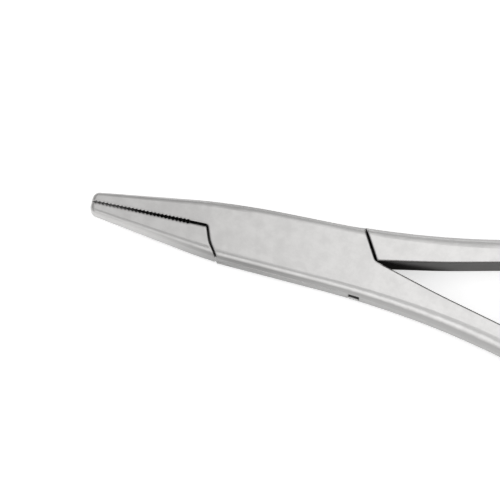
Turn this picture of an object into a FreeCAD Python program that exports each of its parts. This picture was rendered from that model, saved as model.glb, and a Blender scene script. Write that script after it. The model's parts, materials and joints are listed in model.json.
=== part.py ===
"""Orthodontic elastic placing pliers, 14 cm, stainless steel, with a box joint and a ratchet.

+X runs from the pivot toward the handle ends, +Y toward the upper handle, +Z up through
the thickness. The origin lies on the pivot axis in the plane that the pliers rest on.
The box half has the upper jaw, the slotted box and the lower handle; the tongue half has
the lower jaw, the tongue that fills the slot and the upper handle.
"""
import FreeCAD, Part
import math
import os
import re

from FreeCAD import Rotation, Vector
import Sketcher

SIZES = {
    "axis_y": 0.0,
    "cut_overrun": 1.5,
    # thickness, along Z
    "plate_thickness": 4.5,
    "jaw_tip_thickness": 2.6,
    "taper_start": 12.0,
    "taper_blend": 20.0,
    # outline, measured from the pivot; half widths from the centre line
    "jaw_reach": 27.15,
    "tip_half_width": 1.38,
    "tip_corner": 0.95,
    "tip_gap": 0.14,
    "jaw_gap": 0.4,
    "knee_x": 8.5,
    "knee_half_width": 4.0,
    "knee_radius": 110.0,
    "flare_x": 17.5,
    "flare_half_width": 4.78,
    "flare_radius": 125.0,
    "tongue_handle_rise": 0.15,
    "bow_x": 70.0,
    "bow_half_width": 17.9,
    "bow_radius": 90.0,
    "handle_width": 3.6,
    "inner_flare_x": 20.0,
    "inner_flare_y": 2.1,
    "end_corner": 3.0,
    "end_setback": 0.2,
    # shoulders of the box
    "front_shoulder_x": 11.35,
    "front_corner_radius": 0.5,
    "front_bulge_x": 10.5,
    "front_bulge_y": 2.1,
    "front_bulge_radius": 5.0,
    "front_foot_x": 9.15,
    "front_foot_ease": 0.1,
    "crotch_x": 11.1,
    "crotch_y": 0.36,
    "crotch_radius": 1.0,
    "rear_foot_x": 8.65,
    "front_shoulder_gap": 0.25,
    "rear_shoulder_gap": 0.35,
    # rounding of the outer edges
    "tip_round": 0.6,
    "box_round": 1.05,
    "handle_round": 1.6,
    "round_blend": 12.0,
    # box joint
    "tongue_thickness": 1.9,
    "tongue_clearance": 0.05,
    "front_slot_clearance": 1.8,
    "rear_slot_clearance": 0.85,
    "pin_radius": 1.25,
    "pin_clearance": 0.04,
    # serrations across the jaw faces
    "serration_pitch": 0.5,
    "serration_depth": 0.15,
    "serration_land": 0.08,
    "serration_margin": 0.4,
    # ratchet at the handle ends
    "ratchet_radius": 108.4,
    "ratchet_bar": 2.6,
    "ratchet_reach": 3.6,
    "tooth_pitch": 1.5,
    "tooth_run": 1.42,
    "tooth_height": 0.9,
    "tooth_root": 0.65,
    "tooth_count": 4,
    "tooth_clearance": 0.12,
    "hook_gap": 1.0,
    "hook_bar": 2.7,
    "hook_reach": 1.7,
    "beak_root": 0.9,
    "beak_start_y": 0.15,
    "beak_land": 0.3,
    "beak_margin": 0.1,
    # leaf springs and their screws
    "spring_thickness": 0.5,
    "spring_width": 3.2,
    "spring_cross_x": 32.0,
    "spring_overlap": 2.2,
    "spring_knee_x": 49.0,
    "spring_knee_y": 6.9,
    "spring_knee_radius": 70.0,
    "spring_bend_radius": 20.0,
    "foot_front": 5.0,
    "foot_back": 4.0,
    "seat_depth": 0.25,
    "seat_margin": 0.4,
    "fork_slot": 1.4,
    "fork_length": 5.0,
    "tongue_tip_width": 1.0,
    "screw_radius": 0.8,
    "screw_depth": 2.0,
    "screw_clearance": 0.02,
    "head_radius": 1.5,
    "head_height": 0.9,
    "head_edge": 0.35,
    "driver_width": 0.45,
    "driver_depth": 0.4,
}

# what follows from the sizes above
DERIVED = {
    "mid_z": "plate_thickness / 2",
    "tip_half_gap": "tip_gap / 2",
    "half_gap": "jaw_gap / 2",
    "jaw_root_x": "front_shoulder_x + front_slot_clearance",
    "jaw_slope": "(half_gap - tip_half_gap) / (jaw_reach - jaw_root_x)",
    "box_slope": "(flare_half_width - knee_half_width) / (flare_x + knee_x)",
    "front_foot_y": "knee_half_width + box_slope * (knee_x - front_foot_x) - front_foot_ease",
    "front_lean": "(front_bulge_x - front_foot_x) / (front_foot_y - front_bulge_y)",
    "rear_foot_y": "knee_half_width + box_slope * (knee_x + rear_foot_x)",
    "rear_lean": "(crotch_x - rear_foot_x) / (rear_foot_y - crotch_y)",
    "rear_axis_x": "crotch_x + rear_lean * crotch_y",
    "rear_gap_x": "rear_shoulder_gap * sqrt(1 + rear_lean ^ 2)",
    "handle_slope": "(bow_half_width - flare_half_width) / (bow_x - flare_x)",
    "inner_bow_y": "bow_half_width - handle_width * sqrt(1 + handle_slope ^ 2)",
    "inner_radius": "bow_radius - handle_width",
    "inner_slope": "(inner_bow_y - inner_flare_y) / (bow_x - inner_flare_x)",
    "inner_apex_y": "inner_bow_y - inner_radius * (sqrt(1 + inner_slope ^ 2) - 1)",
    "seat_y": "inner_apex_y + seat_depth",
    "arm_slope": "spring_knee_y / (spring_knee_x - spring_cross_x)",
    "leaf_slope": "(seat_y - spring_knee_y) / (bow_x - foot_front - spring_knee_x)",
    "bend_run": "spring_bend_radius * (sqrt(1 + leaf_slope ^ 2) - 1) / leaf_slope",
    "seat_front": "bow_x - foot_front - bend_run",
    "seat_back": "bow_x + foot_back + seat_margin",
    "box_end": "ratchet_radius - end_setback",
    "hook_inner": "ratchet_radius + tooth_height + hook_gap",
    "hook_outer": "hook_inner + hook_bar",
    "tongue_end": "hook_outer - end_setback",
    "slot_height": "tongue_thickness + 2 * tongue_clearance",
    "side_reach": "flare_half_width + cut_overrun",
    "serrated_length": "jaw_reach - jaw_root_x - 2 * serration_margin",
}


# an edge this near to the drawn contour lies on it
ON_CONTOUR = 0.002


def make_sheet(doc):
    """Put every size and derived value in a spreadsheet, each under its own alias."""
    sheet = doc.addObject("Spreadsheet::Sheet", "sizes")
    row = 1
    for name, value in SIZES.items():
        sheet.set("A%d" % row, name)
        sheet.set("B%d" % row, str(value))
        sheet.setAlias("B%d" % row, name)
        row += 1
    doc.recompute()
    for name, formula in DERIVED.items():
        sheet.set("A%d" % row, name)
        sheet.set("B%d" % row, "=" + formula)
        sheet.setAlias("B%d" % row, name)
        row += 1
        doc.recompute()
    return sheet


def bound(formula):
    """The formula as an expression, with each size read from the sheet."""
    return re.sub(r"\b(?!sqrt|floor|atan)([a-z]\w*)", r"sizes.\1", formula)


def value(formula):
    """The formula's value with the sheet's present sizes."""
    return float(FreeCAD.ActiveDocument.sizes.evalExpression(bound(formula)))


def corner_arc(centre, radius, start, end):
    """Counterclockwise arc between two tangent points, by the short way round."""
    low = math.atan2(start.y - centre.y, start.x - centre.x)
    high = math.atan2(end.y - centre.y, end.x - centre.x)
    if (high - low) % (2 * math.pi) > math.pi:
        low, high = high, low
    if high < low:
        high += 2 * math.pi
    return Part.ArcOfCircle(Part.Circle(centre, Vector(0, 0, 1), radius), low, high)


def rounded_path(points):
    """Lines and arcs of a closed polygon whose corners have the given radii.

    points holds (x, y, radius) numbers; each corner gives (arc or None, line after it).
    """
    corners = []
    for i, (x, y, radius) in enumerate(points):
        here = Vector(x, y, 0)
        if not radius:
            corners.append((here, None, here))
            continue
        before = (Vector(*points[i - 1][:2], 0) - here).normalize()
        after = (Vector(*points[(i + 1) % len(points)][:2], 0) - here).normalize()
        half = before.getAngle(after) / 2
        start = here + before * (radius / math.tan(half))
        end = here + after * (radius / math.tan(half))
        centre = here + (before + after).normalize() * (radius / math.sin(half))
        corners.append((start, corner_arc(centre, radius, start, end), end))
    path = []
    for i, (start, arc, end) in enumerate(corners):
        path.append((arc, Part.LineSegment(end, corners[(i + 1) % len(corners)][0])))
    return path


def attach(sketch, body, role, lift=None, shift=None):
    """Attach a sketch to an origin plane of its body, lifted along the plane's normal."""
    plane = [f for f in body.Origin.OriginFeatures if f.Role == role][0]
    sketch.AttachmentSupport = [(plane, "")]
    sketch.MapMode = "FlatFace"
    if lift:
        sketch.setExpression("AttachmentOffset.Base.z", bound(lift))
    if shift:
        sketch.setExpression("AttachmentOffset.Base.x", bound(shift))


class Rules:
    """Constraints of one sketch, added together, with the sizes that drive them."""

    def __init__(self, sketch):
        self.sketch = sketch
        self.constraints = []
        self.ties = []

    def add(self, kind, *geometry):
        self.constraints.append(Sketcher.Constraint(kind, *geometry))

    def drive(self, kind, formula, *geometry):
        """A dimension whose value follows a formula of the sizes."""
        self.ties.append((len(self.constraints), formula))
        self.add(kind, *geometry, value(formula))

    def place(self, x, y, geometry, position):
        """Fix a point's distances from the sketch's origin."""
        self.drive("DistanceX", x, -1, 1, geometry, position)
        self.drive("DistanceY", y, -1, 1, geometry, position)

    def apply(self):
        self.sketch.addConstraint(self.constraints)
        for number, formula in self.ties:
            self.sketch.setExpression("Constraints[%d]" % number, bound(formula))


def add_outline(sketch, corners):
    """Draw a closed outline; corners holds (x, y, radius) formulas, radius None if sharp."""
    numbers = [(value(x), value(y), value(r) if r else 0) for x, y, r in corners]
    path = rounded_path(numbers)
    points, arcs, lines = [], [], []
    for (x, y, _), (arc, line) in zip(numbers, path):
        points.append(sketch.addGeometry(Part.Point(Vector(x, y, 0)), True))
        arcs.append(sketch.addGeometry(arc, False) if arc else None)
        lines.append(sketch.addGeometry(line, False))
    rules = Rules(sketch)
    drawn = sketch.Geometry
    for i, (x, y, radius) in enumerate(corners):
        point, before, after = points[i], lines[i - 1], lines[i]
        rules.place(x, y, point, 1)
        if not radius:
            rules.add("Coincident", before, 2, point, 1)
            rules.add("Coincident", after, 1, point, 1)
            continue
        rules.add("PointOnObject", point, 1, before)
        rules.add("PointOnObject", point, 1, after)
        meets = drawn[arcs[i]].StartPoint.isEqual(path[i - 1][1].EndPoint, 1e-6)
        rules.add("Tangent", before, 2, arcs[i], 1 if meets else 2)
        rules.add("Tangent", after, 1, arcs[i], 2 if meets else 1)
        rules.drive("Radius", radius, arcs[i])
    rules.apply()
    return path


def add_circle(sketch, radius, height=None):
    """Draw a circle on the sketch's vertical axis, at its origin or a given height."""
    level = value(height) if height else 0
    whole = Part.Circle(Vector(0, level, 0), Vector(0, 0, 1), value(radius))
    circle = sketch.addGeometry(whole, False)
    rules = Rules(sketch)
    if height:
        rules.add("PointOnObject", circle, 3, -2)
        rules.drive("DistanceY", height, -1, 1, circle, 3)
    else:
        rules.add("Coincident", circle, 3, -1, 1)
    rules.drive("Radius", radius, circle)
    rules.apply()


def add_direction(sketch, ends):
    """Draw a construction line between two (x, y) points, for a pattern to follow."""
    points = [Vector(value(x), value(y), 0) for x, y in ends]
    line = sketch.addGeometry(Part.LineSegment(*points), True)
    rules = Rules(sketch)
    for position, (x, y) in enumerate(ends, 1):
        rules.place(x, y, line, position)
    rules.apply()


def new_sketch(body, name, role="XY_Plane", lift=None, shift=None):
    sketch = body.newObject("Sketcher::SketchObject", name)
    attach(sketch, body, role, lift, shift)
    return sketch


def pad(body, name, sketch, length, midplane=False):
    feature = body.newObject("PartDesign::Pad", name)
    feature.Profile = sketch
    feature.setExpression("Length", bound(length))
    if midplane:
        feature.SideType = "Symmetric"
    return feature


def pocket(body, name, sketch, length=None, midplane=True, reverse=False):
    """Cut a sketch's outline out of the body, right through where no length is given."""
    feature = body.newObject("PartDesign::Pocket", name)
    feature.Profile = sketch
    if midplane:
        feature.SideType = "Symmetric"
    feature.Reversed = reverse
    if length:
        feature.Type = "Length"
        feature.setExpression("Length", bound(length))
    else:
        feature.Type = "ThroughAll"
    return feature


def flip(formula, side):
    """The same height on the other side of the centre line when side is -1."""
    return formula if side > 0 else "-(%s)" % formula


def half_corners(side, end):
    """Corners of one half seen from above, with the jaw on the given side (+1 is upper).

    The handle lies on the other side and stops at x = end. Each corner also says whether
    the run that follows it is on the outer contour, which gets rounded.
    """
    rise = "0" if side > 0 else "tongue_handle_rise"
    end_y = "bow_half_width + %s - handle_slope * (%s - bow_x)" % (rise, end)
    end_inner_y = "inner_bow_y - inner_slope * (%s - bow_x)" % end
    corners = [
        ("-jaw_reach", "tip_half_gap", None, False),
        ("-jaw_root_x", "half_gap", None, False),
        ("-front_shoulder_x", "half_gap", "front_corner_radius", False),
        ("-front_bulge_x", "-front_bulge_y", "front_bulge_radius", False),
        ("-front_foot_x", "-front_foot_y", None, True),
        ("flare_x", "-flare_half_width - " + rise, "flare_radius", True),
        ("bow_x", "-bow_half_width - " + rise, "bow_radius", True),
        (end, "-(%s)" % end_y, "end_corner", False),
        (end, "-(%s)" % end_inner_y, None, False),
        ("bow_x", "-inner_bow_y", "inner_radius", False),
        ("inner_flare_x", "-inner_flare_y", "flare_radius", False),
        ("crotch_x", flip("crotch_y", side), "crotch_radius", False),
        ("rear_foot_x", "rear_foot_y", None, True),
        ("-knee_x", "knee_half_width", "knee_radius", True),
        ("-jaw_reach", "tip_half_width", "tip_corner", True),
    ]
    return [(x, flip(y, side), radius, outer) for x, y, radius, outer in corners]


def edge_round(x):
    """Radius of the outer edges' rounding at a distance along the pliers."""
    stations = [
        (-value("jaw_reach") + value("tip_corner"), value("tip_round")),
        (-value("front_foot_x"), value("box_round")),
        (value("rear_foot_x") / 2, value("box_round")),
        (value("flare_x + round_blend"), value("handle_round")),
    ]
    if x <= stations[0][0]:
        return stations[0][1]
    for (x0, r0), (x1, r1) in zip(stations, stations[1:]):
        if x <= x1:
            return r0 + (r1 - r0) * (x - x0) / (x1 - x0)
    return stations[-1][1]


def runs_round(start, end):
    """Whether a stretch of the contour runs counterclockwise, seen from above."""
    inside = Vector(value("bow_x") / 2, 0, 0)
    return (start - inside).cross(end - start).z > 0


def outer_edges(shape, path, outer):
    """(edge number, first radius, last radius) of the edges along the outer contour.

    The edges of one chain take their radii in the direction of its first edge.
    """
    contour = []
    for i, (arc, line) in enumerate(path):
        if outer[i]:
            contour.append(line)
        if arc and (outer[i] or outer[i - 1]):
            contour.append(arc)
    flat = Part.makeCompound([piece.toShape() for piece in contour])
    upright = value("jaw_tip_thickness") / 2
    found = []
    chains = {}
    for number, edge in enumerate(shape.Edges, 1):
        spots = [edge.valueAt(edge.FirstParameter), edge.valueAt(edge.LastParameter)]
        if abs(spots[0].z - spots[1].z) > upright:
            continue
        middle = edge.valueAt((edge.FirstParameter + edge.LastParameter) / 2)
        away = [flat.distToShape(Part.Vertex(p.x, p.y, 0))[0] for p in spots + [middle]]
        if max(away) > ON_CONTOUR:
            continue
        ahead = runs_round(*spots)
        chain = (middle.z > value("mid_z"), middle.y > 0)
        radii = [edge_round(spot.x) for spot in spots]
        if ahead != chains.setdefault(chain, ahead):
            radii.reverse()
        found.append((number, *radii))
    return found


def make_blank(doc, name, side, end):
    """The forging of one half: outline, tapered jaw and rounded outer edges."""
    body = doc.addObject("PartDesign::Body", name + "_forging")
    sketch = new_sketch(body, name + "_outline")
    corners = half_corners(side, end)
    path = add_outline(sketch, [corner[:3] for corner in corners])
    pad(body, name + "_stock", sketch, "plate_thickness")
    for face, level in (("top", "1"), ("bottom", "-1")):
        taper = new_sketch(body, "%s_%s_taper" % (name, face), "XZ_Plane")
        face_z = "mid_z + %s * mid_z" % level
        tip_z = "mid_z + %s * jaw_tip_thickness / 2" % level
        clear_z = "mid_z + %s * plate_thickness" % level
        add_outline(taper, [
            ("-taper_start / 2", face_z, None),
            ("-taper_start", face_z, "taper_blend"),
            ("-jaw_reach", tip_z, None),
            ("-jaw_reach - cut_overrun", tip_z, None),
            ("-jaw_reach - cut_overrun", clear_z, None),
            ("-taper_start / 2", clear_z, None),
        ])
        pocket(body, "%s_%s_cut" % (name, face), taper)
    doc.recompute()
    rounded = doc.addObject("Part::Fillet", name + "_rounded")
    rounded.Base = body
    rounded.Edges = outer_edges(body.Shape, path, [corner[3] for corner in corners])
    doc.recompute()
    return rounded


def cut_serrations(body, name, side):
    """V grooves across the jaw face, from the tip back along the face to its root."""
    sketch = new_sketch(body, name + "_groove_sketch")
    start = "-jaw_reach + serration_margin"
    middle = start + " + (serration_pitch - serration_land) / 2"
    end = start + " + serration_pitch - serration_land"
    face = "tip_half_gap + jaw_slope * serration_margin"
    add_outline(sketch, [
        (start, "axis_y", None),
        (start, flip(face, side), None),
        (middle, flip(face + " + serration_depth", side), None),
        (end, flip(face, side), None),
        (end, "axis_y", None),
    ])
    add_direction(sketch, [("-jaw_reach", flip("tip_half_gap", side)),
                           ("-jaw_root_x", flip("half_gap", side))])
    groove = pocket(body, name + "_groove", sketch)
    pattern = body.newObject("PartDesign::LinearPattern", name + "_serrations")
    pattern.Originals = [groove]
    pattern.Direction = (sketch, ["Axis0"])
    pattern.Mode = "Spacing"
    pattern.setExpression("Offset", bound("serration_pitch"))
    pattern.setExpression("Occurrences", bound("floor(serrated_length / serration_pitch)"))
    body.Tip = pattern


def cut_pin_hole(body, name, radius):
    sketch = new_sketch(body, name + "_pin_circle")
    add_circle(sketch, radius)
    pocket(body, name + "_pin_hole", sketch)


def cut_spring_seat(body, name, side):
    """Flat for the spring's foot inside the handle, and the hole for its screw."""
    sketch = new_sketch(body, name + "_seat_sketch")
    add_outline(sketch, [
        ("seat_front", flip("inner_apex_y - cut_overrun", side), None),
        ("seat_back", flip("inner_apex_y - cut_overrun", side), None),
        ("seat_back", flip("seat_y", side), None),
        ("seat_front", flip("seat_y", side), None),
    ])
    pocket(body, name + "_seat", sketch)
    drill = new_sketch(body, name + "_screw_circle", "XZ_Plane",
                       lift="-(%s)" % flip("seat_y", side), shift="bow_x")
    add_circle(drill, "screw_radius + screw_clearance", "mid_z")
    pocket(body, name + "_screw_hole", drill, "screw_depth + screw_clearance",
           midplane=False, reverse=side < 0)


def new_half(doc, name, blank):
    """A body that goes on from the rounded forging."""
    body = doc.addObject("PartDesign::Body", name)
    body.Label = name
    body.BaseFeature = blank
    doc.recompute()
    return body


def make_box_half(doc):
    """Upper jaw, slotted box and lower handle with the toothed ratchet bar."""
    name = "box_half"
    blank = make_blank(doc, name, 1, "box_end")
    body = new_half(doc, name, blank)
    slot = new_sketch(body, "slot_sketch", lift="mid_z")
    rear = "rear_foot_x + rear_slot_clearance"
    rear_in = "rear_axis_x + rear_slot_clearance"
    add_outline(slot, [
        ("-front_foot_x - front_slot_clearance", "side_reach", None),
        ("-jaw_root_x", "axis_y", None),
        ("-jaw_root_x", "-side_reach", None),
        (rear, "-side_reach", None),
        (rear_in, "axis_y", None),
        (rear_in, "side_reach", None),
    ])
    pocket(body, "slot", slot, "slot_height")
    cut_pin_hole(body, name, "pin_radius")
    cut_serrations(body, name, 1)
    cut_spring_seat(body, name, -1)
    add_ratchet_bar(body)
    return body


def add_band(body, name, inner, outer, handle_y, reach, side):
    """A bar that runs on an arc about the pivot, from the handle past the centre line."""
    sketch = new_sketch(body, name + "_sketch")
    start = math.atan2(value(handle_y), value(outer))
    stop = -math.atan2(value(reach), value(outer))
    low, high = sorted((side * start, side * stop))
    arcs, ends = [], []
    for radius in (inner, outer):
        whole = Part.Circle(Vector(0, 0, 0), Vector(0, 0, 1), value(radius))
        arcs.append(sketch.addGeometry(Part.ArcOfCircle(whole, low, high), False))
    for angle in (low, high):
        ray = Vector(math.cos(angle), math.sin(angle), 0)
        line = Part.LineSegment(ray * value(inner), ray * value(outer))
        ends.append(sketch.addGeometry(line, False))
    rules = Rules(sketch)
    for arc, radius in zip(arcs, (inner, outer)):
        rules.add("Coincident", arc, 3, -1, 1)
        rules.drive("Radius", radius, arc)
    for end, line, angle in ((1, ends[0], low), (2, ends[1], high)):
        rules.add("Coincident", arcs[0], end, line, 1)
        rules.add("Coincident", arcs[1], end, line, 2)
        rules.add("PointOnObject", -1, 1, line)
        at_handle = (angle > 0) == (side > 0)
        height = flip(handle_y, side) if at_handle else flip(reach, -side)
        rules.drive("DistanceY", height, -1, 1, line, 2)
    rules.apply()
    return pad(body, name, sketch, "plate_thickness")


def add_ratchet_bar(body):
    """Curved bar at the lower handle's end, with saw teeth that face away from the pivot."""
    handle_y = "(bow_half_width + inner_bow_y) / 2 - handle_slope * (box_end - bow_x)"
    add_band(body, "ratchet_bar", "ratchet_radius - ratchet_bar", "ratchet_radius",
             handle_y, "ratchet_reach", -1)
    sketch = new_sketch(body, "tooth_sketch")
    add_outline(sketch, [
        ("ratchet_radius - tooth_root", "axis_y", None),
        ("ratchet_radius + tooth_height", "axis_y", None),
        ("ratchet_radius", "tooth_run", None),
        ("ratchet_radius - tooth_root", "tooth_run", None),
    ])
    tooth = pad(body, "tooth", sketch, "plate_thickness")
    pattern = body.newObject("PartDesign::PolarPattern", "ratchet_teeth")
    pattern.Originals = [tooth]
    pattern.Axis = (sketch, ["N_Axis"])
    pattern.Reversed = True
    pattern.Mode = "Spacing"
    pattern.setExpression("Offset", bound("atan(tooth_pitch / ratchet_radius)"))
    pattern.setExpression("Occurrences", bound("tooth_count"))
    body.Tip = pattern


def make_tongue_half(doc):
    """Lower jaw, tongue and upper handle with the hook that catches the ratchet."""
    name = "tongue_half"
    blank = make_blank(doc, name, -1, "tongue_end")
    body = new_half(doc, name, blank)
    bulge_x = "-front_bulge_x - front_shoulder_gap"
    bulge_y = "-front_bulge_y - front_shoulder_gap / 2"
    bulge_radius = "front_bulge_radius + front_shoulder_gap"
    front_side = "front_foot_x + front_shoulder_gap - front_lean * (side_reach - front_foot_y)"
    rear_side = "rear_foot_x + rear_gap_x - rear_lean * (side_reach - rear_foot_y)"
    shoulders = [
        ("-jaw_root_x", "side_reach", None),
        ("-jaw_root_x", "axis_y", None),
        ("-front_shoulder_x - front_shoulder_gap", "axis_y", "front_corner_radius"),
        (bulge_x, bulge_y, bulge_radius),
        ("-(%s)" % front_side, "-side_reach", None),
        ("jaw_root_x", "-side_reach", None),
        ("jaw_root_x", "axis_y", None),
        ("rear_axis_x + rear_gap_x", "axis_y", None),
        (rear_side, "side_reach", None),
    ]
    tongue_top = "mid_z + tongue_thickness / 2"
    tongue_bottom = "mid_z - tongue_thickness / 2"
    upper = new_sketch(body, "upper_rebate_sketch", lift=tongue_top)
    add_outline(upper, shoulders)
    pocket(body, "upper_rebate", upper, "plate_thickness", midplane=False, reverse=True)
    lower = new_sketch(body, "lower_rebate_sketch", lift=tongue_bottom)
    add_outline(lower, shoulders)
    pocket(body, "lower_rebate", lower, "plate_thickness", midplane=False)
    cut_pin_hole(body, name, "pin_radius + pin_clearance")
    cut_serrations(body, name, -1)
    cut_spring_seat(body, name, 1)
    add_hook(body)
    return body


def add_hook(body):
    """Curved bar at the upper handle's end, with a beak over the ratchet teeth."""
    handle_y = "(bow_half_width + inner_bow_y) / 2 - handle_slope * (tongue_end - bow_x)"
    add_band(body, "hook_bar", "hook_inner", "hook_outer", handle_y, "hook_reach", 1)
    sketch = new_sketch(body, "beak_sketch")
    tip_x = "ratchet_radius + tooth_height + tooth_clearance"
    add_outline(sketch, [
        ("hook_inner + beak_root", "-beak_start_y", None),
        (tip_x, "-beak_start_y", None),
        (tip_x, "-beak_start_y - beak_land", None),
        ("hook_inner + beak_root", "-hook_reach + beak_margin", None),
    ])
    pad(body, "beak", sketch, "plate_thickness")


def make_pin(doc):
    """Pivot pin, ground flush with the box on both faces."""
    body = doc.addObject("PartDesign::Body", "pivot_pin")
    body.Label = "pivot_pin"
    sketch = new_sketch(body, "pin_sketch")
    add_circle(sketch, "pin_radius")
    pad(body, "pin", sketch, "plate_thickness")
    return body


def leaf_corners(side):
    """Corners of a leaf spring seen from above: its foot, its knee and its free end."""
    bend_x = "bow_x - foot_front"
    tip_x = "spring_cross_x - spring_overlap"
    tip_y = "-spring_overlap * arm_slope"
    half = "spring_thickness * sqrt(1 + arm_slope ^ 2) / 2"
    corners = [
        ("bow_x + foot_back", "seat_y", None),
        (bend_x, "seat_y", "spring_bend_radius"),
        ("spring_knee_x", "spring_knee_y + " + half, "spring_knee_radius + spring_thickness"),
        (tip_x, "%s + %s" % (tip_y, half), None),
        (tip_x, "%s - %s" % (tip_y, half), None),
        ("spring_knee_x", "spring_knee_y - " + half, "spring_knee_radius"),
        (bend_x, "seat_y - spring_thickness", "spring_bend_radius + spring_thickness"),
        ("bow_x + foot_back", "seat_y - spring_thickness", None),
    ]
    return [(x, flip(y, side), radius) for x, y, radius in corners]


def end_box(body, name, low, high):
    """Cut a band of the spring's width away over the length of its free end."""
    sketch = new_sketch(body, name + "_sketch", "XZ_Plane")
    front = "spring_cross_x - spring_overlap - cut_overrun"
    back = "spring_cross_x - spring_overlap + fork_length"
    rectangle = [(front, low), (back, low), (back, high), (front, high)]
    add_outline(sketch, [(x, y, None) for x, y in rectangle])
    pocket(body, name, sketch)


def make_spring(doc, name, side):
    """Leaf spring: the fork is on the box half, the narrow tongue on the tongue half."""
    body = doc.addObject("PartDesign::Body", name)
    body.Label = name
    sketch = new_sketch(body, name + "_outline", lift="mid_z")
    add_outline(sketch, leaf_corners(side))
    pad(body, name + "_leaf", sketch, "spring_width", midplane=True)
    if side < 0:
        end_box(body, name + "_fork", "mid_z - fork_slot / 2", "mid_z + fork_slot / 2")
    else:
        end_box(body, name + "_over", "mid_z + tongue_tip_width / 2", "mid_z + spring_width")
        end_box(body, name + "_under", "mid_z - spring_width", "mid_z - tongue_tip_width / 2")
    hole = new_sketch(body, name + "_hole_sketch", "XZ_Plane", shift="bow_x")
    add_circle(hole, "screw_radius + screw_clearance", "mid_z")
    pocket(body, name + "_hole", hole)
    return body


def make_screw(doc, name, side):
    """Slotted screw that holds a leaf spring's foot to its handle."""
    body = doc.addObject("PartDesign::Body", name)
    body.Label = name
    sketch = new_sketch(body, name + "_profile", lift="mid_z", shift="bow_x")
    under = "seat_y - spring_thickness"
    add_outline(sketch, [
        ("axis_y", flip("seat_y + screw_depth", side), None),
        ("screw_radius", flip("seat_y + screw_depth", side), None),
        ("screw_radius", flip(under, side), None),
        ("head_radius", flip(under, side), None),
        ("head_radius", flip("%s - head_height + head_edge" % under, side), None),
        ("head_radius - head_edge", flip("%s - head_height" % under, side), None),
        ("axis_y", flip("%s - head_height" % under, side), None),
    ])
    turned = body.newObject("PartDesign::Revolution", name + "_turned")
    turned.Profile = sketch
    turned.ReferenceAxis = (sketch, ["V_Axis"])
    turned.Angle = 360
    driver = new_sketch(body, name + "_driver_sketch", lift="mid_z", shift="bow_x")
    face = "%s - head_height" % under
    add_outline(driver, [
        ("-driver_width / 2", flip("%s + driver_depth" % face, side), None),
        ("driver_width / 2", flip("%s + driver_depth" % face, side), None),
        ("driver_width / 2", flip("%s - cut_overrun" % face, side), None),
        ("-driver_width / 2", flip("%s - cut_overrun" % face, side), None),
    ])
    pocket(body, name + "_driver_slot", driver)
    return body


def check(doc, parts):
    """Stop if any object failed or a sub-part's solid isn't sound."""
    for item in doc.Objects:
        if set(item.State) & {"Invalid", "Error"}:
            raise RuntimeError("%s failed: %s" % (item.Name, item.State))
    for part in parts:
        shape = part.Shape
        if shape.isNull() or not shape.isValid() or len(shape.Solids) != 1:
            raise RuntimeError("%s isn't one sound solid" % part.Label)


def main():
    doc = FreeCAD.newDocument("pliers")
    make_sheet(doc)
    parts = [
        make_box_half(doc),
        make_tongue_half(doc),
        make_pin(doc),
        make_spring(doc, "fork_spring", -1),
        make_spring(doc, "tongue_spring", 1),
        make_screw(doc, "fork_spring_screw", -1),
        make_screw(doc, "tongue_spring_screw", 1),
    ]
    doc.recompute()
    for part in parts:
        part.Placement = FreeCAD.Placement(Vector(0, 0, 0), Rotation())
    doc.recompute()
    check(doc, parts)
    os.makedirs("parts", exist_ok=True)
    for part in parts:
        part.Shape.exportStep("parts/%s.step" % part.Label)
        print("%s: %.1f mm3, %d faces" % (part.Label, part.Shape.Volume, len(part.Shape.Faces)))


main()
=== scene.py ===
"""Finishes, bending leaf springs, studio and camera for the orthodontic elastic pliers."""

import json
import logging
import math
from collections.abc import Mapping, Sequence
from dataclasses import dataclass
from enum import Enum

import bmesh
import bpy
from mathutils import Matrix, Vector

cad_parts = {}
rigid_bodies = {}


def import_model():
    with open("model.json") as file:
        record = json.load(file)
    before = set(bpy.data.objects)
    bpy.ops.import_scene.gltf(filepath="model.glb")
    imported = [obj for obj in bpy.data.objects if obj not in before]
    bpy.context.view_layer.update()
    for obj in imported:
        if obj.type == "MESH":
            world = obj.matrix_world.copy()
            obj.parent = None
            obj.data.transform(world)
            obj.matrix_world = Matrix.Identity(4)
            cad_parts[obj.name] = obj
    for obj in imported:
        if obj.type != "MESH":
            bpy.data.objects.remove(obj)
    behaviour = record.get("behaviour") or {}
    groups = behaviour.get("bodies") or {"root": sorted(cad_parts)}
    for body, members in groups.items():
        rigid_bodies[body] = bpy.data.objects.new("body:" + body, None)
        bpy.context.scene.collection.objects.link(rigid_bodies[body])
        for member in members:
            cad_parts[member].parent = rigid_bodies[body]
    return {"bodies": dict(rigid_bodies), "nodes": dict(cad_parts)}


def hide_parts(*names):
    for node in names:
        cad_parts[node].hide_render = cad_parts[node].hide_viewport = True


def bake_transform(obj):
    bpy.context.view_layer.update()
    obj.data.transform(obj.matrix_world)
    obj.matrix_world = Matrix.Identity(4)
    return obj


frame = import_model()

MM = 0.001
LOG = logging.getLogger("pliers")

Socket = bpy.types.NodeSocket
Colour = tuple[float, float, float, float]
Span = tuple[float, float]

# the Mix node's two ends and its result have the same names for numbers, vectors and
# colours, so they go by their numbers
NUMBER_A, NUMBER_B, NUMBER_OUT = 2, 3, 0
VECTOR_A, VECTOR_B, VECTOR_OUT = 4, 5, 1
COLOUR_A, COLOUR_B, COLOUR_OUT = 6, 7, 2

# Blender's wave texture repeats after this length at a scale of 1
WAVE_PERIOD = math.tau / 20


class Half(Enum):
    """The two forgings, each with the CAD body that carries its small parts."""

    BOX = "box_half_body"
    TONGUE = "tongue_half_body"


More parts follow.
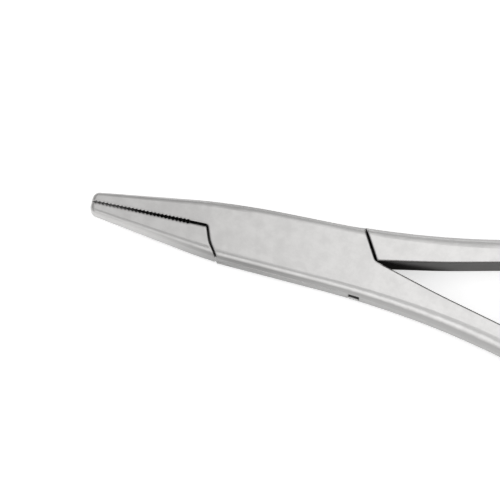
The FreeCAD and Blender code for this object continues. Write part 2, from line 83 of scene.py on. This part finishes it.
def linear(code: str) -> Colour:
    """Turn an sRGB hex colour into the linear values that shaders use.

    Args:
        code: colour as "#RRGGBB".

    Returns:
        Linear red, green, blue and an alpha of 1.
    """
    shares = [int(code[i : i + 2], 16) / 255 for i in (1, 3, 5)]
    values = [s / 12.92 if s <= 0.04045 else ((s + 0.055) / 1.055) ** 2.4 for s in shares]
    return (values[0], values[1], values[2], 1.0)


def per_metre(size_mm: float) -> float:
    """Pattern scale whose features are about size_mm across."""
    return 1 / (size_mm * MM)


def add_node(
    tree: bpy.types.NodeTree,
    kind: str,
    inputs: Mapping[str | int, object] | None = None,
    **settings: object,
) -> bpy.types.Node:
    """Add a node with its settings and links.

    Args:
        tree: node tree that gets the node.
        kind: Blender's name for the type of node.
        inputs: for each input socket, the socket that feeds it or its value.
        settings: properties of the node itself.

    Returns:
        The new node.
    """
    node = tree.nodes.new(kind)
    for name, setting in settings.items():
        setattr(node, name, setting)
    for name, source in (inputs or {}).items():
        if isinstance(source, Socket):
            tree.links.new(source, node.inputs[name])
        else:
            node.inputs[name].default_value = source
    return node


def new_material(name: str) -> tuple[bpy.types.Material, bpy.types.NodeTree]:
    """Make an empty node material.

    Args:
        name: the material's name.

    Returns:
        The material and its node tree.
    """
    material = bpy.data.materials.new(name)
    material.use_nodes = True
    material.node_tree.nodes.clear()
    return material, material.node_tree


def dress(piece: bpy.types.Object, material: bpy.types.Material) -> None:
    """Give a piece one material all over.

    Args:
        piece: mesh object to dress.
        material: the finish that it gets.
    """
    piece.data.materials.clear()
    piece.data.materials.append(material)
    LOG.info("%s wears %s", piece.name, material.name)


@dataclass(frozen=True)
class BlastedStainless:
    """Hardened stainless steel, ground smooth and then blasted with fine glass beads.

    The blasting leaves a soft even satin with a faint grain and slow cloudy changes of
    sheen. Shade is painted into the colour: the flats are painted darker from the handles
    toward the jaws, and the side walls darker than the flats, most at the box and least at
    the jaws. The handles' sides that face each other past the crotch have painted shade,
    and so have the recesses: the slots, the teeth and the crotch. That painted shade is
    weaker on the teeth near the tips, and it also dims what these places reflect.
    """

    name: str = "bead_blasted_stainless_steel"
    # painted shade: the flats go darker from the handles toward the jaws
    jaw_colour: str = "#C2C1C0"
    handle_colour: str = "#E1E0DF"
    # painted shade on the handles' sides that face each other, and in the recesses
    inner_shade_colour: str = "#5A5958"
    recess_shade_colour: str = "#3A3938"
    # tint of what is reflected at a grazing angle; painted shade dims it on the handles' facing
    # sides and in the recesses
    open_grazing: str = "#FFFFFF"
    inner_shade_grazing: str = "#CDCDCD"
    recess_shade_grazing: str = "#929292"
    # painted shade on the side walls: their brightness, as a share of the flats'
    jaw_wall_shade_tone: float = 0.9
    box_wall_shade_tone: float = 0.38
    handle_wall_shade_tone: float = 0.47
    # how much of the painted shade in the recesses is left on the teeth at the tips
    tip_shade_share: float = 0.35
    roughness: float = 0.34
    cloud_roughness: float = 0.38
    edge_roughness: float = 0.3
    # real bead dimples are about 0.05 mm; drawn at 0.22 mm so that the grain shows
    dimple_mm: float = 0.22
    dimple_depth_mm: float = 0.012
    dimple_detail: float = 2.0
    bump_strength: float = 0.6
    cloud_mm: float = 2.2
    cloud_detail: float = 6.0
    cloud_fineness: float = 0.75
    cloud_share: float = 0.07
    # how far from an edge the light is softened, except inside the circle round the pin
    edge_radius_mm: float = 0.45
    edge_samples: int = 8
    pin_mm: float = 1.7
    # how far round a point counts for how deep in a recess it lies, which sets the painted shade
    # there
    recess_mm: float = 6.0
    recess_samples: int = 16
    # where along the pliers, from the pivot, each change begins and ends
    # where the painted shade on the teeth at the tips fades out
    tip_shade_fade_mm: Span = (-25.0, -19.0)
    jaw_to_box_mm: Span = (-22.0, -6.0)
    jaw_to_handle_mm: Span = (-22.0, 26.0)
    box_to_handle_mm: Span = (-6.0, 9.0)
    crotch_mm: Span = (9.0, 11.0)
    # values between which the other changes begin and end
    cloud_noise: Span = (0.35, 0.65)
    edge_match: Span = (0.999, 0.96)
    wall_level: Span = (0.93, 0.58)
    wall_outward: Span = (-0.02, -0.45)
    recess_open: Span = (0.42, 0.16)

    def build(self) -> bpy.types.Material:
        """Make the material.

        Returns:
            The finished material.
        """
        material, tree = new_material(self.name)
        place = add_node(tree, "ShaderNodeTexCoord").outputs["Object"]
        edge, normal = self.edges(tree, place)
        masks = self.masks(tree, place, normal)
        colour, grazing = self.colours(tree, masks)
        roughness: Socket | float = self.roughness
        for share, level in (
            (masks["cloud"], self.cloud_roughness),
            (edge, self.edge_roughness),
        ):
            roughness = add_node(
                tree, "ShaderNodeMix", {0: share, NUMBER_A: roughness, NUMBER_B: level}
            ).outputs[NUMBER_OUT]
        dimples = add_node(
            tree,
            "ShaderNodeTexNoise",
            {"Vector": place, "Scale": per_metre(self.dimple_mm), "Detail": self.dimple_detail},
        ).outputs["Fac"]
        bump = add_node(
            tree,
            "ShaderNodeBump",
            {
                "Strength": self.bump_strength,
                "Distance": self.dimple_depth_mm * MM,
                "Height": dimples,
                "Normal": normal,
            },
        ).outputs["Normal"]
        surface = add_node(
            tree,
            "ShaderNodeBsdfPrincipled",
            {
                "Base Color": colour,
                "Metallic": 1.0,
                "Roughness": roughness,
                "Specular Tint": grazing,
                "Normal": bump,
            },
        )
        add_node(tree, "ShaderNodeOutputMaterial", {"Surface": surface.outputs["BSDF"]})
        return material

    def edges(self, tree: bpy.types.NodeTree, place: Socket) -> tuple[Socket, Socket]:
        """Find the sharp edges, and soften the light across them.

        The pin is ground flush with the box, so the edge round it stays as it is.

        Args:
            tree: node tree of the material.
            place: the point on the object.

        Returns:
            How near to an edge a point is, from 0 to 1, and the softened normal.
        """
        soft = add_node(
            tree,
            "ShaderNodeBevel",
            {"Radius": self.edge_radius_mm * MM},
            samples=self.edge_samples,
        ).outputs["Normal"]
        plain = add_node(tree, "ShaderNodeNewGeometry").outputs["Normal"]
        match = add_node(
            tree, "ShaderNodeVectorMath", {0: soft, 1: plain}, operation="DOT_PRODUCT"
        ).outputs["Value"]
        start, end = self.edge_match
        turned = add_node(
            tree, "ShaderNodeMapRange", {"Value": match, "From Min": start, "From Max": end}
        ).outputs["Result"]
        level = add_node(
            tree, "ShaderNodeVectorMath", {0: place, 1: (1, 1, 0)}, operation="MULTIPLY"
        ).outputs["Vector"]
        from_pin = add_node(
            tree, "ShaderNodeVectorMath", {0: level}, operation="LENGTH"
        ).outputs["Value"]
        clear = add_node(
            tree, "ShaderNodeMath", {0: from_pin, 1: self.pin_mm * MM}, operation="GREATER_THAN"
        ).outputs["Value"]
        near = add_node(
            tree, "ShaderNodeMath", {0: turned, 1: clear}, operation="MULTIPLY"
        ).outputs["Value"]
        normal = add_node(
            tree, "ShaderNodeMix", {0: near, VECTOR_A: plain, VECTOR_B: soft}, data_type="VECTOR"
        ).outputs[VECTOR_OUT]
        return near, normal

    def masks(
        self, tree: bpy.types.NodeTree, place: Socket, normal: Socket
    ) -> dict[str, Socket]:
        """Find where each change of the finish, and of the painted shade, sets in.

        Args:
            tree: node tree of the material.
            place: the point on the object.
            normal: the softened normal.

        Returns:
            For each change, by name, a share that rises smoothly from 0 to 1.
        """
        clouds = add_node(
            tree,
            "ShaderNodeTexNoise",
            {
                "Vector": place,
                "Scale": per_metre(self.cloud_mm),
                "Detail": self.cloud_detail,
                "Roughness": self.cloud_fineness,
            },
        ).outputs["Fac"]
        # how open each point is, which sets the painted shade in the recesses
        openness = add_node(
            tree,
            "ShaderNodeAmbientOcclusion",
            {"Distance": self.recess_mm * MM},
            samples=self.recess_samples,
        ).outputs["AO"]
        point = add_node(tree, "ShaderNodeSeparateXYZ", {0: place}).outputs
        facing = add_node(
            tree,
            "ShaderNodeVectorTransform",
            {0: normal},
            vector_type="NORMAL",
            convert_from="WORLD",
            convert_to="OBJECT",
        ).outputs["Vector"]
        turned = add_node(tree, "ShaderNodeSeparateXYZ", {0: facing}).outputs
        # how level the surface is, which sets the painted shade on the side walls
        level = add_node(
            tree, "ShaderNodeMath", {0: turned["Z"]}, operation="ABSOLUTE"
        ).outputs["Value"]
        # which sides face the other half, for their painted shade
        half = add_node(
            tree, "ShaderNodeMath", {0: point["Y"]}, operation="SIGN"
        ).outputs["Value"]
        outward = add_node(
            tree, "ShaderNodeMath", {0: half, 1: turned["Y"]}, operation="MULTIPLY"
        ).outputs["Value"]
        changes = {
            "cloud": (clouds, self.cloud_noise, 1.0),
            "wall": (level, self.wall_level, 1.0),
            "facing": (outward, self.wall_outward, 1.0),
            "recess": (openness, self.recess_open, 1.0),
            "past_tip_fade": (point["X"], self.tip_shade_fade_mm, MM),
            "to_box": (point["X"], self.jaw_to_box_mm, MM),
            "to_handle": (point["X"], self.jaw_to_handle_mm, MM),
            "past_box": (point["X"], self.box_to_handle_mm, MM),
            "past_crotch": (point["X"], self.crotch_mm, MM),
        }
        return {
            name: add_node(
                tree,
                "ShaderNodeMapRange",
                {"Value": value, "From Min": start * unit, "From Max": end * unit},
                interpolation_type="SMOOTHSTEP",
            ).outputs["Result"]
            for name, (value, (start, end), unit) in changes.items()
        }

    def colours(
        self, tree: bpy.types.NodeTree, masks: Mapping[str, Socket]
    ) -> tuple[Socket, Socket]:
        """Colour the flats and the side walls, with painted shade on the jaws' flats, the side
        walls, the handles' facing sides and the recesses.

        Args:
            tree: node tree of the material.
            masks: where each change of the finish sets in.

        Returns:
            The steel's colour with its painted shade, and the tint of what it reflects at a
            grazing angle, dimmed by the painted shade.
        """
        # painted shade: the flats darker from the handles toward the jaws
        flat = add_node(
            tree,
            "ShaderNodeMix",
            {
                0: masks["to_handle"],
                COLOUR_A: linear(self.jaw_colour),
                COLOUR_B: linear(self.handle_colour),
            },
            data_type="RGBA",
        ).outputs[COLOUR_OUT]
        flat_tone = add_node(
            tree,
            "ShaderNodeMix",
            {0: masks["cloud"], NUMBER_A: 1.0, NUMBER_B: 1.0 - self.cloud_share},
        ).outputs[NUMBER_OUT]
        # painted shade on the side walls, strongest at the box
        wall_tone: Socket | float = self.jaw_wall_shade_tone
        for share, level in (
            (masks["to_box"], self.box_wall_shade_tone),
            (masks["past_box"], self.handle_wall_shade_tone),
        ):
            wall_tone = add_node(
                tree, "ShaderNodeMix", {0: share, NUMBER_A: wall_tone, NUMBER_B: level}
            ).outputs[NUMBER_OUT]
        tone = add_node(
            tree, "ShaderNodeMix", {0: masks["wall"], NUMBER_A: flat_tone, NUMBER_B: wall_tone}
        ).outputs[NUMBER_OUT]
        colour = add_node(
            tree, "ShaderNodeVectorMath", {0: flat, "Scale": tone}, operation="SCALE"
        ).outputs["Vector"]
        # painted shade on the handles' sides that face each other, past the crotch
        inner = add_node(
            tree,
            "ShaderNodeMath",
            {0: masks["facing"], 1: masks["past_crotch"]},
            operation="MULTIPLY",
        ).outputs["Value"]
        # the painted shade in the recesses is weaker on the teeth at the tips
        tip_shade_left = add_node(
            tree,
            "ShaderNodeMix",
            {0: masks["past_tip_fade"], NUMBER_A: self.tip_shade_share, NUMBER_B: 1.0},
        ).outputs[NUMBER_OUT]
        # painted shade in the recesses
        recess = add_node(
            tree, "ShaderNodeMath", {0: masks["recess"], 1: tip_shade_left}, operation="MULTIPLY"
        ).outputs["Value"]
        # the painted shade darkens the colour and dims the grazing reflections
        grazing: Socket | Colour = linear(self.open_grazing)
        for share, painted_shade, tint in (
            (inner, self.inner_shade_colour, self.inner_shade_grazing),
            (recess, self.recess_shade_colour, self.recess_shade_grazing),
        ):
            colour, grazing = (
                add_node(
                    tree,
                    "ShaderNodeMix",
                    {0: share, COLOUR_A: under, COLOUR_B: linear(over)},
                    data_type="RGBA",
                ).outputs[COLOUR_OUT]
                for under, over in ((colour, painted_shade), (grazing, tint))
            )
        return colour, grazing


@dataclass(frozen=True)
class GroundSpringSteel:
    """Cold-rolled stainless spring strip, ground along its length.

    The grinding leaves fine straight lines along the leaf, a little darker and glossier
    than the blasted forgings.
    """

    name: str = "ground_spring_steel"
    colour: str = "#C6C6C7"
    roughness: float = 0.24
    line_roughness: float = 0.38
    # real grinding lines are about 0.03 mm apart; drawn at 0.12 mm so that they show
    line_mm: float = 0.12
    line_length_mm: float = 9.0
    line_depth_mm: float = 0.006
    line_detail: float = 3.0
    # noise between which the sheen goes from the smooth steel's to the lines'
    line_noise: Span = (0.3, 0.7)
    bump_strength: float = 0.4

    def build(self) -> bpy.types.Material:
        """Make the material.

        Returns:
            The finished material.
        """
        material, tree = new_material(self.name)
        place = add_node(tree, "ShaderNodeTexCoord").outputs["Object"]
        along = (per_metre(self.line_length_mm), per_metre(self.line_mm), per_metre(self.line_mm))
        stretched = add_node(
            tree, "ShaderNodeMapping", {"Vector": place, "Scale": along}
        ).outputs["Vector"]
        lines = add_node(
            tree,
            "ShaderNodeTexNoise",
            {"Vector": stretched, "Scale": 1.0, "Detail": self.line_detail},
        ).outputs["Fac"]
        start, end = self.line_noise
        roughness = add_node(
            tree,
            "ShaderNodeMapRange",
            {
                "Value": lines,
                "From Min": start,
                "From Max": end,
                "To Min": self.roughness,
                "To Max": self.line_roughness,
            },
        ).outputs["Result"]
        bump = add_node(
            tree,
            "ShaderNodeBump",
            {
                "Strength": self.bump_strength,
                "Distance": self.line_depth_mm * MM,
                "Height": lines,
            },
        ).outputs["Normal"]
        surface = add_node(
            tree,
            "ShaderNodeBsdfPrincipled",
            {
                "Base Color": linear(self.colour),
                "Metallic": 1.0,
                "Roughness": roughness,
                "Normal": bump,
            },
        )
        add_node(tree, "ShaderNodeOutputMaterial", {"Surface": surface.outputs["BSDF"]})
        return material


@dataclass(frozen=True)
class TurnedStainless:
    """Free-cutting stainless steel, turned on a lathe.

    The tool leaves fine rings round the screw's axis, on a bright surface.
    """

    name: str = "turned_stainless_steel"
    colour: str = "#D2D1D0"
    roughness: float = 0.2
    ring_roughness: float = 0.32
    # real tool marks are about 0.05 mm apart; drawn at 0.15 mm so that they show
    ring_mm: float = 0.15
    ring_depth_mm: float = 0.005
    bump_strength: float = 0.3
    # the two screws lie on one axis, across the handles
    axis_x_mm: float = 70.0
    axis_z_mm: float = 2.25

    def build(self) -> bpy.types.Material:
        """Make the material.

        Returns:
            The finished material.
        """
        material, tree = new_material(self.name)
        place = add_node(tree, "ShaderNodeTexCoord").outputs["Object"]
        centred = add_node(
            tree,
            "ShaderNodeMapping",
            {"Vector": place, "Location": (-self.axis_x_mm * MM, 0, -self.axis_z_mm * MM)},
        ).outputs["Vector"]
        rings = add_node(
            tree,
            "ShaderNodeTexWave",
            {"Vector": centred, "Scale": WAVE_PERIOD * per_metre(self.ring_mm)},
            wave_type="RINGS",
            rings_direction="Y",
        ).outputs["Fac"]
        roughness = add_node(
            tree,
            "ShaderNodeMapRange",
            {"Value": rings, "To Min": self.roughness, "To Max": self.ring_roughness},
        ).outputs["Result"]
        bump = add_node(
            tree,
            "ShaderNodeBump",
            {
                "Strength": self.bump_strength,
                "Distance": self.ring_depth_mm * MM,
                "Height": rings,
            },
        ).outputs["Normal"]
        surface = add_node(
            tree,
            "ShaderNodeBsdfPrincipled",
            {
                "Base Color": linear(self.colour),
                "Metallic": 1.0,
                "Roughness": roughness,
                "Normal": bump,
            },
        )
        add_node(tree, "ShaderNodeOutputMaterial", {"Surface": surface.outputs["BSDF"]})
        return material


@dataclass(frozen=True)
class WhiteTable:
    """Matt white laminate, which shows as a clean white with a soft shadow on it.

    The lift is a faint glow for rays from the camera, off gloss and through glass, so
    that the open table is white without more light on the object.
    """

    name: str = "matt_white_laminate"
    colour: str = "#F1F1F1"
    lift: float = 0.54

    def build(self) -> bpy.types.Material:
        """Make the material.

        Returns:
            The finished material.
        """
        material, tree = new_material(self.name)
        path = add_node(tree, "ShaderNodeLightPath").outputs
        seen = path["Is Camera Ray"]
        for kind in ("Is Glossy Ray", "Is Transmission Ray"):
            seen = add_node(
                tree, "ShaderNodeMath", {0: seen, 1: path[kind]}, operation="ADD", use_clamp=True
            ).outputs["Value"]
        strength = add_node(
            tree, "ShaderNodeMath", {0: seen, 1: self.lift}, operation="MULTIPLY"
        ).outputs["Value"]
        glow = add_node(tree, "ShaderNodeEmission", {"Strength": strength}).outputs["Emission"]
        matt = add_node(
            tree, "ShaderNodeBsdfDiffuse", {"Color": linear(self.colour)}
        ).outputs["BSDF"]
        both = add_node(tree, "ShaderNodeAddShader", {0: matt, 1: glow}).outputs["Shader"]
        add_node(tree, "ShaderNodeOutputMaterial", {"Surface": both})
        return material


@dataclass
class Forgings:
    """The two forged halves and the pivot pin that is ground flush with them."""

    nodes: tuple[str, ...] = ("box_half", "tongue_half", "pivot_pin")

    def dress(self, finish: bpy.types.Material) -> None:
        """Give the forgings their blasted finish.

        Args:
            finish: the blasted steel.
        """
        for name in self.nodes:
            dress(frame["nodes"][name], finish)


@dataclass
class SpringScrews:
    """The two slotted screws that hold the leaf springs' feet."""

    nodes: tuple[str, ...] = ("fork_spring_screw", "tongue_spring_screw")

    def dress(self, finish: bpy.types.Material) -> None:
        """Give the screws their turned finish.

        Args:
            finish: the turned steel.
        """
        for name in self.nodes:
            dress(frame["nodes"][name], finish)


@dataclass
class LeafSpring:
    """A leaf spring with eased edges, cut across so that it can bend.

    Its foot is on its own handle, and its free end is hooked in the other spring's.
    """

    node: str
    holder: Half
    other: Half
    # where the bend begins, and where the two free ends are hooked in each other
    foot_x_mm: float = 63.0
    free_x_mm: float = 32.0
    # the CAD solid comes as loose triangles, which are joined into whole faces again
    merge_mm: float = 0.001
    flat_deg: float = 1.0
    edge_mm: float = 0.08
    edge_steps: int = 2
    cut_every_mm: float = 1.2
    cut_slack_mm: float = 0.0001
    sharp_deg: float = 40.0

    def build(self, finish: bpy.types.Material) -> bpy.types.Object:
        """Make the spring from its CAD solid, and hide that.

        Args:
            finish: the spring steel.

        Returns:
            The spring.
        """
        solid = frame["nodes"][self.node]
        shape = bmesh.new()
        shape.from_mesh(solid.data)
        bmesh.ops.remove_doubles(shape, verts=shape.verts, dist=self.merge_mm * MM)
        bmesh.ops.dissolve_limit(
            shape,
            angle_limit=math.radians(self.flat_deg),
            verts=shape.verts,
            edges=shape.edges,
        )
        self.ease_edges(shape)
        self.cut_across(shape)
        bmesh.ops.recalc_face_normals(shape, faces=shape.faces)
        mesh = bpy.data.meshes.new(self.node + "_leaf")
        shape.to_mesh(mesh)
        shape.free()
        for face in mesh.polygons:
            face.use_smooth = True
        mesh.set_sharp_from_angle(angle=math.radians(self.sharp_deg))
        leaf = bpy.data.objects.new(self.node + "_leaf", mesh)
        bpy.context.scene.collection.objects.link(leaf)
        dress(leaf, finish)
        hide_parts(self.node)
        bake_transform(leaf)
        return leaf

    def ease_edges(self, shape: bmesh.types.BMesh) -> None:
        """Round the sharp edges, as tumbling does to a stamped strip.

        Args:
            shape: the spring's mesh.
        """
        sharp = [
            edge
            for edge in shape.edges
            if len(edge.link_faces) == 2
            and edge.calc_face_angle() > math.radians(self.sharp_deg)
        ]
        bmesh.ops.bevel(
            shape,
            geom=sharp,
            offset=self.edge_mm * MM,
            offset_type="OFFSET",
            segments=self.edge_steps,
            profile=0.5,
            affect="EDGES",
            material=-1,
            clamp_overlap=True,
        )

    def cut_across(self, shape: bmesh.types.BMesh) -> None:
        """Cut the leaf across at short steps, so that it can bend smoothly.

        Args:
            shape: the spring's mesh.
        """
        low = min(vertex.co.x for vertex in shape.verts)
        steps = int((self.foot_x_mm * MM - low) / (self.cut_every_mm * MM))
        for step in range(1, steps + 1):
            bmesh.ops.bisect_plane(
                shape,
                geom=shape.verts[:] + shape.edges[:] + shape.faces[:],
                dist=self.cut_slack_mm * MM,
                plane_co=(low + step * self.cut_every_mm * MM, 0, 0),
                plane_no=(1, 0, 0),
            )


@dataclass(frozen=True)
class Patch:
    """Part of the tent that is lighter or darker, round one direction.

    The strength is added in full beyond the inner cosine and fades out at the outer one.
    """

    way: tuple[float, float, float]
    outer: float
    inner: float
    strength: float


@dataclass
class Studio:
    """White table in a soft tent of light.

    The tent is brighter at the front and toward the handles' ends, darker low at the
    back and beyond the jaws' tips, and has a dark hole for the lens.
    """

    table_m: float = 4.0
    table_drop_mm: float = 0.02
    tent_colour: str = "#FFFFFF"
    tent_strength: float = 0.93
    patches: tuple[Patch, ...] = (
        Patch(way=(1.0, 0.0, 0.0), outer=-0.25, inner=0.05, strength=0.15),
        Patch(way=(-1.0, 0.0, 0.0), outer=0.35, inner=0.8, strength=-0.5),
        Patch(way=(0.0, -0.8, 0.6), outer=0.8, inner=0.97, strength=0.38),
        Patch(way=(0.057, -0.244, 0.968), outer=0.9, inner=0.99, strength=-0.85),
        Patch(way=(0.0, 1.0, 0.0), outer=0.4, inner=0.9, strength=-0.48),
    )
    lamp_size_m: float = 0.9
    lamp_power_w: float = 0.7
    lamp_place_m: tuple[float, float, float] = (0.15, 0.05, 0.95)

    def build(self, table_finish: bpy.types.Material) -> None:
        """Make the table, the tent and the lamp.

        Args:
            table_finish: the table's material.
        """
        self.add_table(table_finish)
        self.add_tent()
        self.add_lamp()

    def add_table(self, finish: bpy.types.Material) -> None:
        """Lay the table just under the pliers.

        Args:
            finish: the table's material.
        """
        shape = bmesh.new()
        bmesh.ops.create_grid(shape, x_segments=1, y_segments=1, size=self.table_m / 2)
        bmesh.ops.translate(shape, verts=shape.verts, vec=(0, 0, -self.table_drop_mm * MM))
        mesh = bpy.data.meshes.new("table")
        shape.to_mesh(mesh)
        shape.free()
        table = bpy.data.objects.new("table", mesh)
        bpy.context.scene.collection.objects.link(table)
        dress(table, finish)

    def add_tent(self) -> None:
        """Surround the object with white, lighter and darker in patches."""
        world = bpy.data.worlds.new("tent")
        bpy.context.scene.world = world
        world.use_nodes = True
        tree = world.node_tree
        tree.nodes.clear()
        way = add_node(tree, "ShaderNodeTexCoord").outputs["Generated"]
        strength: Socket | float = self.tent_strength
        for patch in self.patches:
            facing = add_node(
                tree,
                "ShaderNodeVectorMath",
                {0: way, 1: tuple(Vector(patch.way).normalized())},
                operation="DOT_PRODUCT",
            ).outputs["Value"]
            share = add_node(
                tree,
                "ShaderNodeMapRange",
                {
                    "Value": facing,
                    "From Min": patch.outer,
                    "From Max": patch.inner,
                    "To Max": patch.strength,
                },
                interpolation_type="SMOOTHSTEP",
            ).outputs["Result"]
            strength = add_node(
                tree, "ShaderNodeMath", {0: strength, 1: share}, operation="ADD"
            ).outputs["Value"]
        white = add_node(
            tree,
            "ShaderNodeBackground",
            {"Color": linear(self.tent_colour), "Strength": strength},
        ).outputs["Background"]
        add_node(tree, "ShaderNodeOutputWorld", {"Surface": white})

    def add_lamp(self) -> None:
        """Hang one large soft lamp over the table, aimed at the pliers."""
        lamp = bpy.data.lights.new("softbox", "AREA")
        lamp.shape = "SQUARE"
        lamp.size = self.lamp_size_m
        lamp.energy = self.lamp_power_w
        holder = bpy.data.objects.new("softbox", lamp)
        place = Vector(self.lamp_place_m)
        turn = (-place).to_track_quat("-Z", "Y").to_matrix().to_4x4()
        holder.matrix_world = Matrix.Translation(place) @ turn
        bpy.context.scene.collection.objects.link(holder)


@dataclass
class LongLensCamera:
    """Camera that looks down on the jaws and the box, as a long lens close above does.

    One point of the object, the pivot axis at the box's upper face, is put at its pixel.
    """

    azimuth_deg: float = 13.2
    elevation_deg: float = 75.5
    distance_m: float = 0.6
    pixels_per_mm: float = 7.6
    image_px: int = 500
    pivot_top_mm: float = 4.5
    pivot_pixel: tuple[float, float] = (291.7, 244.4)
    sensor_mm: float = 36.0

    def build(self) -> bpy.types.Object:
        """Make the camera and make it the scene's.

        Returns:
            The camera object.
        """
        azimuth = math.radians(self.azimuth_deg)
        elevation = math.radians(self.elevation_deg)
        right = Vector((math.cos(azimuth), math.sin(azimuth), 0))
        back = Vector(
            (
                math.sin(azimuth) * math.cos(elevation),
                -math.cos(azimuth) * math.cos(elevation),
                math.sin(elevation),
            )
        )
        up = back.cross(right)
        metre_per_pixel = MM / self.pixels_per_mm
        across = (self.pivot_pixel[0] - self.image_px / 2) * metre_per_pixel
        above = (self.image_px / 2 - self.pivot_pixel[1]) * metre_per_pixel
        aim = Vector((0, 0, self.pivot_top_mm * MM)) - right * across - up * above
        lens = bpy.data.cameras.new("long_lens")
        lens.sensor_width = self.sensor_mm
        lens.lens = self.sensor_mm * self.distance_m / (self.image_px * metre_per_pixel)
        camera = bpy.data.objects.new("long_lens", lens)
        turn = Matrix((right, up, back)).transposed().to_4x4()
        camera.matrix_world = Matrix.Translation(aim + back * self.distance_m) @ turn
        bpy.context.scene.collection.objects.link(camera)
        bpy.context.scene.camera = camera
        return camera


def remove_strays() -> None:
    """Remove what Blender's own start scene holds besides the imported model."""
    kept = {*frame["nodes"].values(), *frame["bodies"].values()}
    for stray in [o for o in bpy.data.objects if o not in kept]:
        bpy.data.objects.remove(stray)


def main() -> None:
    """Dress the pliers, build the springs, light them and place the camera."""
    logging.basicConfig(level=logging.INFO, format="%(name)s: %(message)s")
    remove_strays()
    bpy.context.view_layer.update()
    bpy.context.scene.view_settings.view_transform = "Standard"
    Forgings().dress(BlastedStainless().build())
    SpringScrews().dress(TurnedStainless().build())
    spring_steel = GroundSpringSteel().build()
    for spring in (
        LeafSpring("fork_spring", Half.BOX, Half.TONGUE),
        LeafSpring("tongue_spring", Half.TONGUE, Half.BOX),
    ):
        leaf = spring.build(spring_steel)
        LOG.info("%s has %d faces", leaf.name, len(leaf.data.polygons))
    Studio().build(WhiteTable().build())
    LongLensCamera().build()


if __name__ == "__main__":
    main()
